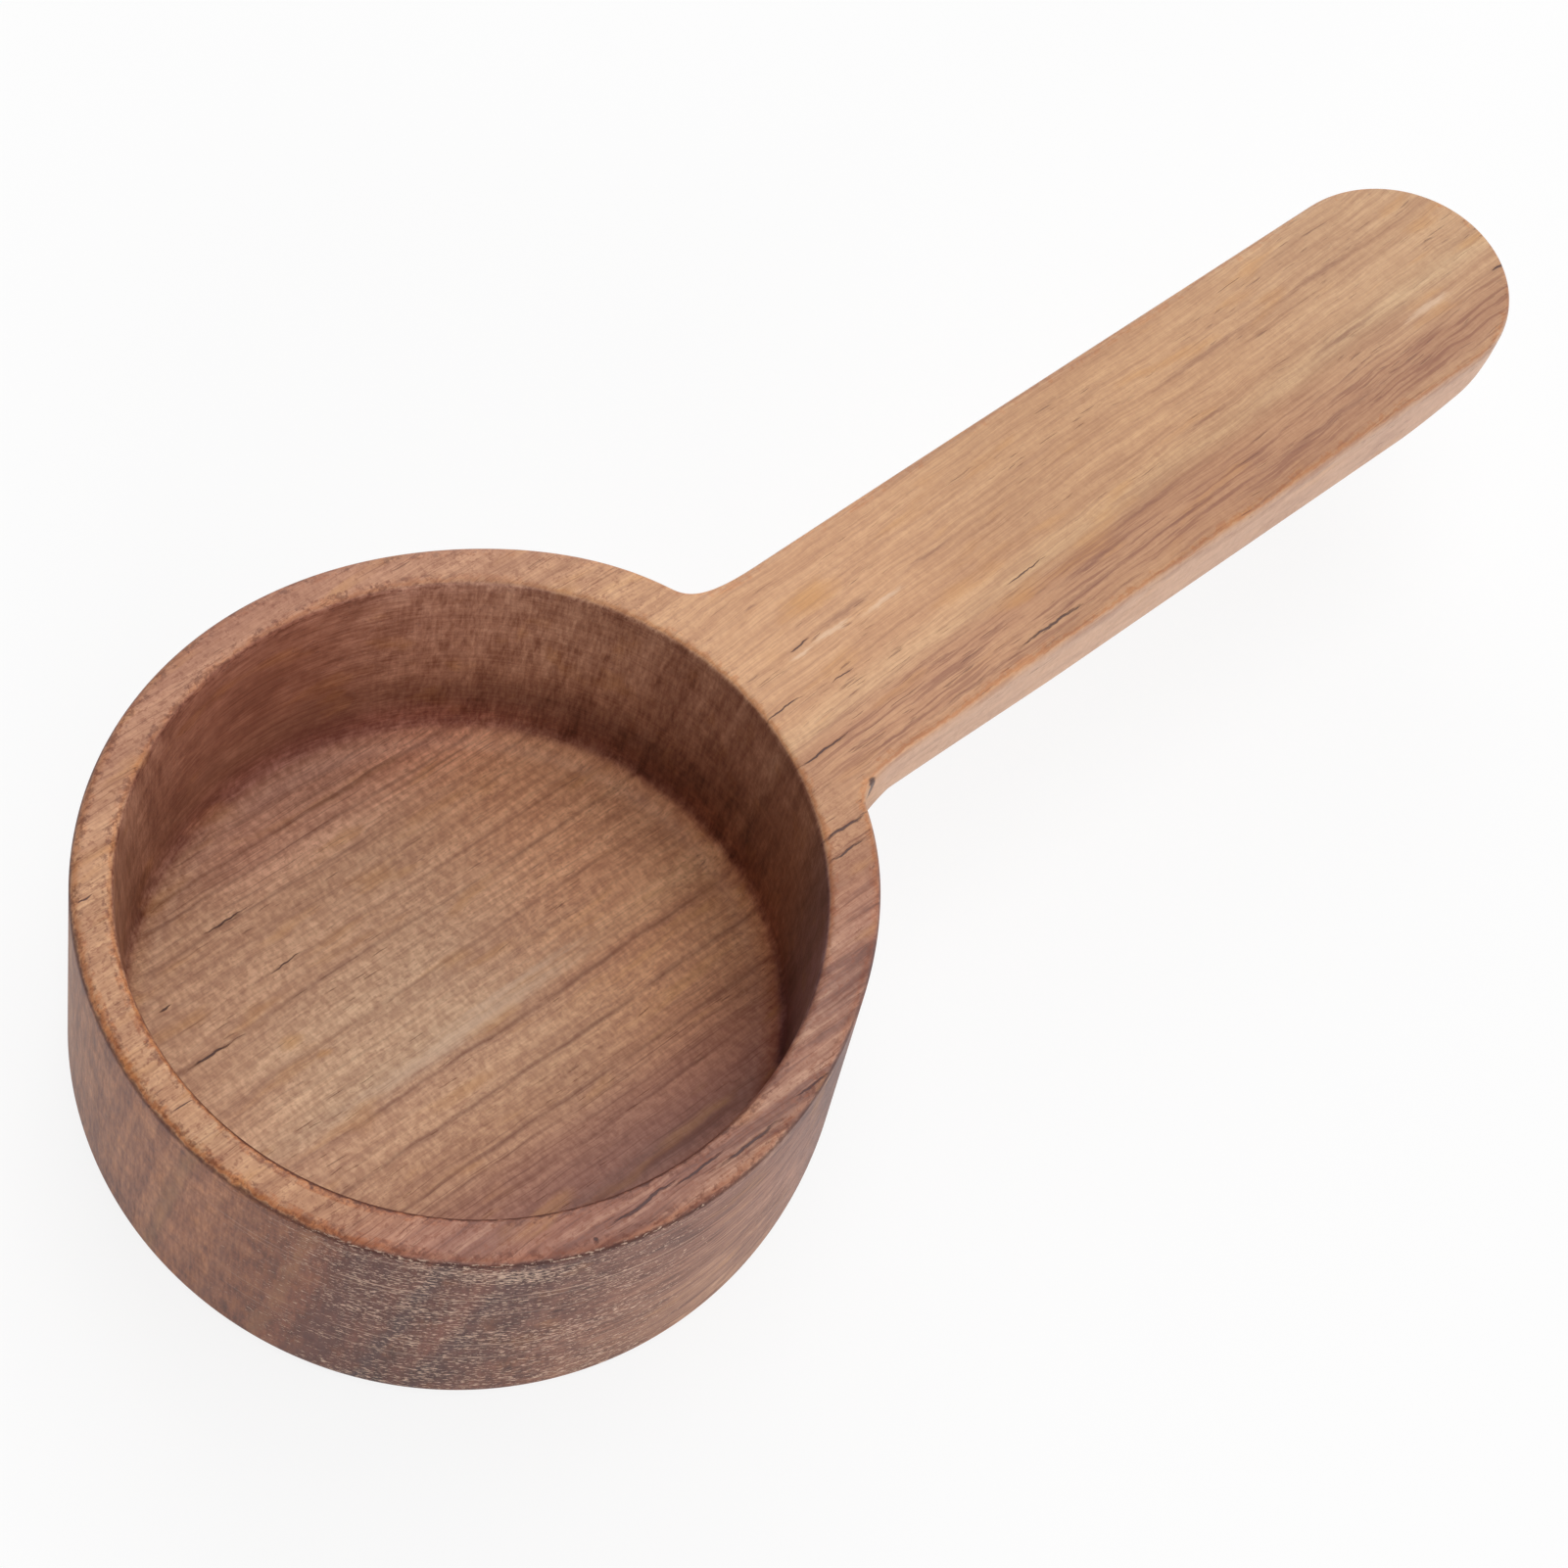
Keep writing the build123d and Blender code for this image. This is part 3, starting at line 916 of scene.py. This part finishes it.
def walls(g, at, colour):
    """The toned walls: ticks and stripes on end grain, long grain elsewhere, marks, clouds, bands and painted
    shade low down.
    """
    colour = g.tone_places(at, colour, WALL_REGIONS)
    oiled = g.most(at.inside, at.outside)
    ticks = g.fade(g.noise(at.mm, *WALL_TICKS), *WALL_TICK_SHADE)
    stripes = g.fade(g.noise(at.rings, *WALL_STRIPES), *WALL_STRIPE_SHADE)
    upright = g.times(g.plus(ticks, stripes), g.times(oiled, g.fade(at.end, *TICKS_BY_END)))
    marks = g.fade(g.noise(at.mm, *WALL_MARKS), *WALL_MARK_SHADE)
    clouds = g.fade(g.noise(at.mm, *WALL_CLOUDS), *WALL_CLOUD_SHADE)
    level = g.times(g.plus(marks, clouds), oiled)
    long_grain = g.fade(g.noise(at.rings, *LONG_GRAIN), *LONG_GRAIN_SHADE)
    shown = g.plus(at.outside, g.times(at.inside, LONG_GRAIN_INSIDE))
    long_grain = g.times(long_grain, g.times(shown, g.fade(at.end, *LONG_GRAIN_BY_END)))
    # Painted shade: the hollow's end grain darker low down and lighter towards the mouth, its long grain a
    # little the other way; the outer end grain darker towards the foot
    painted_low_shade = g.times(at.inside, g.times(g.minus(at.end, EVEN_END), g.fade(at.z, *HOLLOW_PAINTED_SHADE)))
    painted_low_shade = g.minus(painted_low_shade, g.times(at.outer_end, g.fade(at.z, *FOOT_PAINTED_SHADE)))
    colour = g.shade(colour, g.plus(g.plus(1.0, painted_low_shade), g.plus(upright, g.plus(level, long_grain))))
    frayed = g.drift(at.mm, BAND_FRAY, BAND_FRAY_WIDE, BAND_FRAY_MIDDLE)
    for place, half, strength, tone in WALL_BANDS:
        near = g.fade(g.plus(g.away(at.ring, place), frayed), half, half * BAND_CORE)
        colour = g.blend(g.times(g.times(near, at.outside), strength), colour, tone)
    return colour


# Worn edges: what counts as a rounded top edge, and on the bowl; the upward share of the normal that is
# rubbed most; how wide the rub is along the bowl, and how much of it there is by x, y and ring
ROUNDED_GAP = (0.22, 0.06)
ROUNDED_Z = (20.6, 21.4)
BOWL_X = (20.0, 8.0)
PATCHES_WIDE = 0.9
STRETCHES_WIDE = 0.5
RUBBED_SLOPE = 0.82
RUB_WIDE = (16.0, 4.0, 0.16, 0.26)
RUB_CORE = 0.05
RUB_BY_X = (18.0, 6.0, 0.5, 0.85)
RUB_BY_Y = (14.0, 6.0, 0.5, 1.0)
RUB_BY_RING = (-16.0, -12.0, 0.4, 1.0)
RUB_SHARES = (0.92, 0.66, 0.47)
EDGE_SPECK = (0.5, 0.62)
EDGE_SPECK_SHARE = 0.55

# The dark line below the rub on the outer edge, and a painted shadow line on the mouth edge at the front
OUTER_LINE_SLOPE = 0.42
OUTER_LINE_WIDE = (0.26, 0.08)
OUTER_LINE_REACH = (24.4, 25.0)
OUTER_LINE_SHARE = 0.6
MOUTH_SHADOW_SLOPE = (0.9, 0.7)
MOUTH_SHADOW_REACH = (24.2, 23.8)
MOUTH_SHADOW_X = (9.0, -1.0)
MOUTH_SHADOW_Y = (4.0, -6.0)
EDGE_LINE_SHARE = 0.9


def worn_edges(g, at, colour):
    """Rounded top edges rubbed to a thin, speckled orange line, with a broken dark line beside it and a painted
    shadow line inside the mouth at the front.
    """
    uneven = g.plus(g.drift(at.mm, WORN_PATCHES, PATCHES_WIDE), g.drift(at.mm, WORN_STRETCHES, STRETCHES_WIDE))
    slope = g.plus(at.facing_up, uneven)
    rounded = g.times(g.fade(at.gap, *ROUNDED_GAP), g.fade(at.z, *ROUNDED_Z))
    bowl = g.times(rounded, g.fade(at.x, *BOWL_X))
    rub = g.fade(g.away(slope, RUBBED_SLOPE), g.fade(at.x, *RUB_WIDE), RUB_CORE)
    placed = g.times(g.fade(at.y, *RUB_BY_Y), g.fade(at.x, *RUB_BY_X))
    at.worn = g.times(g.times(g.times(rounded, rub), placed), g.fade(at.ring, *RUB_BY_RING))
    colour = g.tone(colour, at.worn, RUB_SHARES)
    specks = g.fade(g.noise(at.mm, *EDGE_SPECKS), *EDGE_SPECK)
    colour = g.blend(g.times(g.times(specks, bowl), EDGE_SPECK_SHARE), colour, SPECK_DARK)
    outer_line = g.fade(g.away(slope, OUTER_LINE_SLOPE), *OUTER_LINE_WIDE)
    outer_line = g.times(outer_line, g.fade(at.reach, *OUTER_LINE_REACH))
    # Painted shadow: a dark line on the front of the mouth edge, where its inner side is in shade
    mouth_shadow_line = g.times(g.fade(slope, *MOUTH_SHADOW_SLOPE), g.fade(at.reach, *MOUTH_SHADOW_REACH))
    mouth_shadow_line = g.times(mouth_shadow_line, g.times(g.fade(at.y, *MOUTH_SHADOW_Y), g.fade(at.x, *MOUTH_SHADOW_X)))
    line = g.times(bowl, g.most(g.times(outer_line, OUTER_LINE_SHARE), mouth_shadow_line))
    return g.blend(g.times(line, EDGE_LINE_SHARE), colour, EDGE_DARK)


# Torn fibres on the outer wall: where they thicken and thin out, in millimetres round the wall from the far
# side
TORN_BEGIN = (-3.0, -16.0)
TORN_THIN_OUT = (-43.0, -33.0, 0.3, 1.0)
TORN_END = (-72.0, -58.0)
TORN_ZONE = (0.35, 0.6, 0.72, 1.0)
FINE_WEIGHT = 0.75
DENSITY_WEIGHT = 0.15
FLECK = (0.53, 0.59)
TORN_SHARE = 0.82
# Painted shade in the grooves of the torn grain
TORN_GROOVE_PAINTED_SHADE = 0.34

# The chipped place below the rim: where round the wall and how high, how it shrinks there, its edge and its
# share
CHIPPED_AT, CHIPPED_HIGH = -27.0, 20.2
CHIPPED_SHRINK, CHIPPED_SHRINK_HIGH = 0.25, 0.9
CHIPPED_EDGE = (1.3, 0.5)
CHIPPED_SHARE = 0.35

# Level tool marks: height in millimetres and depth from 0 to 1; their half width and where they break off
TOOL_MARKS = ((21.0, 0.5), (17.2, 1.0), (16.6, 0.5), (14.3, 0.4), (9.1, 0.5), (6.9, 0.5))
TOOL_MARK_HALF = 0.125
TOOL_MARK_BROKEN = (0.34, 0.52)

# Painted light on the foot of the wall, where the base edge catches the table's light: its height, its slope
# and its share
FOOT_Z = (0.5, 0.2)
FOOT_SLOPE = (-0.9, -0.7)
FOOT_LIGHT_SHARE = 0.35


def torn_fibres(g, at, colour):
    """Short pale torn fibres lying level round the outer wall, painted shade in the grooves between them, long
    tool marks, and painted light on the base edge.
    """
    dense = g.times(g.fade(at.around, *TORN_BEGIN), g.fade(at.around, *TORN_THIN_OUT))
    dense = g.times(dense, g.fade(at.around, *TORN_END))
    uneven = g.fade(g.noise(at.wall, *TORN_ZONES), *TORN_ZONE)
    chipped_x = g.math("ABSOLUTE", g.times(g.minus(at.around, CHIPPED_AT), CHIPPED_SHRINK))
    chipped_z = g.math("ABSOLUTE", g.times(g.minus(at.z, CHIPPED_HIGH), CHIPPED_SHRINK_HIGH))
    chipped = g.times(g.fade(chipped_x, *CHIPPED_EDGE), g.fade(chipped_z, *CHIPPED_EDGE))
    dense = g.plus(g.times(dense, uneven), g.times(chipped, CHIPPED_SHARE))
    fine = g.times(g.noise(at.wall, *TORN_FINE), FINE_WEIGHT)
    broad = g.times(g.noise(at.wall, *TORN_BROAD), 1.0 - FINE_WEIGHT)
    flecks = g.fade(g.plus(g.plus(fine, broad), g.times(g.minus(dense, 1.0), DENSITY_WEIGHT)), *FLECK)
    mark = 0.0
    for height, depth in TOOL_MARKS:
        mark = g.most(mark, g.times(g.near(at.z, height, TOOL_MARK_HALF), depth))
    mark = g.times(mark, g.fade(g.noise(at.wall, *TOOL_MARK_BREAKS), *TOOL_MARK_BROKEN))
    at.torn = g.times(g.most(flecks, g.times(mark, dense)), at.outside)
    # Painted shade: the ground darker where torn fibres are dense, for the shadows in their grooves
    colour = g.shade(colour, g.minus(1.0, g.times(g.times(dense, at.outside), TORN_GROOVE_PAINTED_SHADE)))
    colour = g.blend(g.times(at.torn, TORN_SHARE), colour, TORN_PALE)
    # Painted light: a pale line on the base edge, as if lit from the table
    foot = g.times(g.fade(at.z, *FOOT_Z), g.fade(at.facing_up, *FOOT_SLOPE))
    return g.blend(g.times(foot, FOOT_LIGHT_SHARE), colour, FOOT_PAINTED_LIGHT)


# Relief: hairs, fibres, blotches and torn fibres stand proud, pores and streaks are sunk, by these shares of
# a height
HAIR_RELIEF, FIBRE_RELIEF, BLOTCH_RELIEF, TORN_RELIEF = 0.3, 0.25, 0.25, 1.6
PORE_RELIEF, STREAK_RELIEF = 1.0, 1.4
RELIEF_HEIGHT = 0.06 * MM
RELIEF_STRENGTH = 0.6

# Gloss: roughness, what fibres, torn fibres and worn edges change of it, and how much the oil reflects
ROUGH, ROUGH_FIBRES, ROUGH_TORN, SMOOTH_WORN = 0.42, 0.14, 0.2, 0.06
OIL_IOR = 1.5
OIL_SPECULAR = 0.28


def wood_material():
    """One block of oiled wood, as a solid pattern: cut anywhere, it shows the same rings, fibres and pores."""
    mat = bpy.data.materials.new("oiled_wood")
    g = Graph(mat)
    at = wood_places(g)
    colour = ground_colour(g, at)
    on_top = (regions, mottle, warm_and_plum, ring_lines, pores, placed_streaks)
    on_edges = (walls, worn_edges, torn_fibres)
    for layer in on_top + on_edges:
        colour = layer(g, at, colour)
    height = g.plus(g.times(at.hairs, HAIR_RELIEF), g.times(at.fibres, FIBRE_RELIEF))
    height = g.plus(height, g.times(at.blotches, BLOTCH_RELIEF))
    height = g.minus(height, g.plus(g.times(at.pores, PORE_RELIEF), g.times(at.streaks, STREAK_RELIEF)))
    height = g.plus(height, g.times(at.torn, TORN_RELIEF))
    bump = g.add("ShaderNodeBump", Height=height, Strength=RELIEF_STRENGTH, Distance=RELIEF_HEIGHT)
    changed = g.minus(g.times(at.torn, ROUGH_TORN), g.times(at.worn, SMOOTH_WORN))
    rough = g.plus(g.plus(ROUGH, g.times(at.fibres, ROUGH_FIBRES)), changed)
    shader = g.add("ShaderNodeBsdfPrincipled", Roughness=rough, Normal=bump.outputs[0], IOR=OIL_IOR)
    g.put(shader.inputs["Specular IOR Level"], OIL_SPECULAR)
    g.put(shader.inputs["Base Color"], colour)
    g.add("ShaderNodeOutputMaterial", Surface=shader.outputs[0])
    return mat


rings, gaps = body_surface()
scoop = closed_rings_mesh("scoop_carving", rings, gaps, (0, 0, FLOOR), (0, 0, 0))
scoop.data.materials.append(wood_material())
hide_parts(BODY)
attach(scoop, "root")


# Table and sky: half the table's width in metres, its paint, how much it is self-lit where it is seen, and
# the sky
WHITE = (1.0, 1.0, 1.0, 1.0)
TABLE_HALF = 3.0
TABLE_PAINT = (0.9, 0.9, 0.9, 1.0)
TABLE_GLOW = 0.85
SEEN_STRENGTH = 1.0
SKY_STRENGTH = 0.05

# Each lamp: name, direction it shines from as azimuth and elevation in degrees, width in metres, power in
# watts
LAMPS = (
    ("lamp_above", 0, 90, 0.5, 1.9),
    ("lamp_high_back", 30, 60, 0.5, 1.6),
    ("lamp_back", 60, 32, 0.5, 2.7),
    ("lamp_high_front", 270, 60, 0.5, 0.9),
    ("lamp_low_front", 232, 17, 0.25, 2.15),
    ("lamp_low_side", 310, 12, 0.5, 2.3),
)
LAMP_AIM = Vector((35 * MM, 0, 10 * MM))
LAMP_AWAY = 0.8

# The photograph's camera: a direction and a roll, what it aims at and from how far, and its lens in photo
# pixels
CAMERA_AZIMUTH = math.radians(-55.03)
CAMERA_ELEVATION = math.radians(59.66)
CAMERA_ROLL = math.radians(17.09)
CAMERA_AIM = Vector((21.14 * MM, -6.13 * MM, HEIGHT))
CAMERA_AWAY = 222.98 * MM
SENSOR = 36.0
PHOTO_FOCUS = 3400
PHOTO_WIDE = 1601


def link(name, data):
    """A new object of the scene with the given mesh, lamp or camera."""
    thing = bpy.data.objects.new(name, data)
    bpy.context.scene.collection.objects.link(thing)
    return thing


def mix_seen(g, plain, seen_as, share, output):
    """One surface for the light, and a share of another for the camera, reflections and glass."""
    path = g.add("ShaderNodeLightPath").outputs
    seen = g.most(g.most(path["Is Camera Ray"], path["Is Glossy Ray"]), path["Is Transmission Ray"])
    surface = g.add("ShaderNodeMixShader", Fac=g.times(seen, share))
    g.put(surface.inputs[1], plain.outputs[0])
    g.put(surface.inputs[2], seen_as.outputs[0])
    g.add(output, Surface=surface.outputs[0])


def make_table():
    """A white table, partly self-lit where it is seen, so that it looks white but keeps a shadow."""
    mesh = bpy.data.meshes.new("table")
    half = TABLE_HALF
    corners = [(-half, -half, 0), (half, -half, 0), (half, half, 0), (-half, half, 0)]
    mesh.from_pydata(corners, [], [(0, 1, 2, 3)])
    mat = bpy.data.materials.new("pale_table")
    g = Graph(mat)
    paint = g.add("ShaderNodeBsdfDiffuse", Color=TABLE_PAINT)
    glow = g.add("ShaderNodeEmission", Color=WHITE, Strength=SEEN_STRENGTH)
    mix_seen(g, paint, glow, TABLE_GLOW, "ShaderNodeOutputMaterial")
    table = link("table", mesh)
    mesh.materials.append(mat)


def light_world():
    """A faint even sky for the light, and plain white where the camera or a reflection looks past the table."""
    world = bpy.data.worlds.new("studio")
    g = Graph(world)
    sky = g.add("ShaderNodeBackground", Color=WHITE, Strength=SKY_STRENGTH)
    white = g.add("ShaderNodeBackground", Color=WHITE, Strength=SEEN_STRENGTH)
    mix_seen(g, sky, white, 1.0, "ShaderNodeOutputWorld")
    bpy.context.scene.world = world


def soft_lamp(name, azimuth, elevation, width, power):
    """A square lamp that shines at the scoop from a direction in degrees."""
    turn, rise = math.radians(azimuth), math.radians(elevation)
    direction = Vector((math.cos(turn) * math.cos(rise), math.sin(turn) * math.cos(rise), math.sin(rise)))
    lamp = bpy.data.lights.new(name, "AREA")
    lamp.shape = "SQUARE"
    lamp.size = width
    lamp.energy = power
    stand = link(name, lamp)
    stand.location = LAMP_AIM + direction * LAMP_AWAY
    stand.rotation_euler = direction.to_track_quat("Z", "Y").to_euler()


def make_camera():
    """The camera, placed by the photograph's outlines: a direction, a roll and a distance."""
    flat = math.cos(CAMERA_ELEVATION)
    back_x, back_y = math.sin(CAMERA_AZIMUTH) * flat, -math.cos(CAMERA_AZIMUTH) * flat
    back = Vector((back_x, back_y, math.sin(CAMERA_ELEVATION)))
    level = Vector((math.cos(CAMERA_AZIMUTH), math.sin(CAMERA_AZIMUTH), 0))
    upright = back.cross(level)
    right = math.cos(CAMERA_ROLL) * level + math.sin(CAMERA_ROLL) * upright
    up = -math.sin(CAMERA_ROLL) * level + math.cos(CAMERA_ROLL) * upright
    camera = bpy.data.cameras.new("camera")
    camera.sensor_width = SENSOR
    camera.lens = PHOTO_FOCUS / PHOTO_WIDE * SENSOR
    stand = link("camera", camera)
    turned = Matrix((right, up, back)).transposed().to_4x4()
    stand.matrix_world = Matrix.Translation(CAMERA_AIM + back * CAMERA_AWAY) @ turned
    bpy.context.scene.camera = stand


make_table()
make_camera()
light_world()
for lamp in LAMPS:
    soft_lamp(*lamp)
bpy.context.scene.view_settings.view_transform = "Standard"
